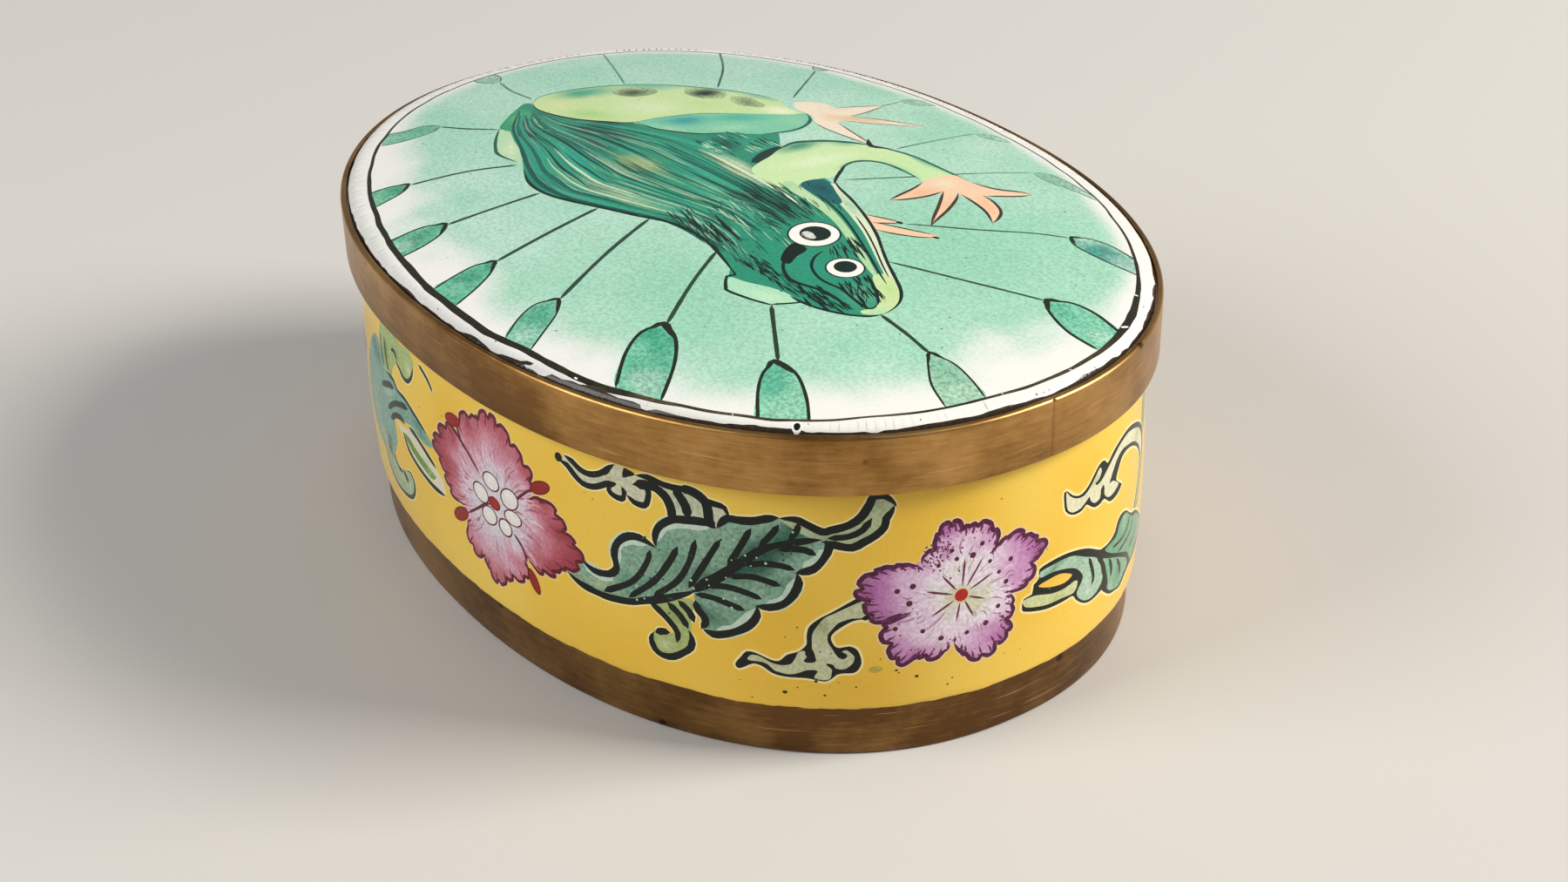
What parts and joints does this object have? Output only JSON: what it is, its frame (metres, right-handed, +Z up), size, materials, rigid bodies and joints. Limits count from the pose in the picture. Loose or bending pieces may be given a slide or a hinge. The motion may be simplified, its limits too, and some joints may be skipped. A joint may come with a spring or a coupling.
{
  "type": "enamel box",
  "caption": "Small oval enamelled brass box: gently swelling cup on a bare brass foot edge, under a domed lift-off lid held in a brass strip.",
  "frame": {"origin": "on the table under the middle of the box", "axes": "+Z up, +X along the oval's long axis, +Y across it"},
  "size_m": [0.062, 0.0454, 0.0244],
  "materials": {
    "cup_enamel": "yellow vitreous enamel with painted flowers and leaves over brass, bare brown brass along the foot",
    "lid_enamel": "glossy vitreous enamel, green wash over white with a painted frog on a lotus leaf",
    "brass_strip": "satin rubbed brass, brown with age, brighter on the top edge"
  },
  "bodies": {
    "root": {"box_cup": "cup_enamel", "lid_plate": "lid_enamel", "lid_strip": "brass_strip"}
  },
  "joints": []
}
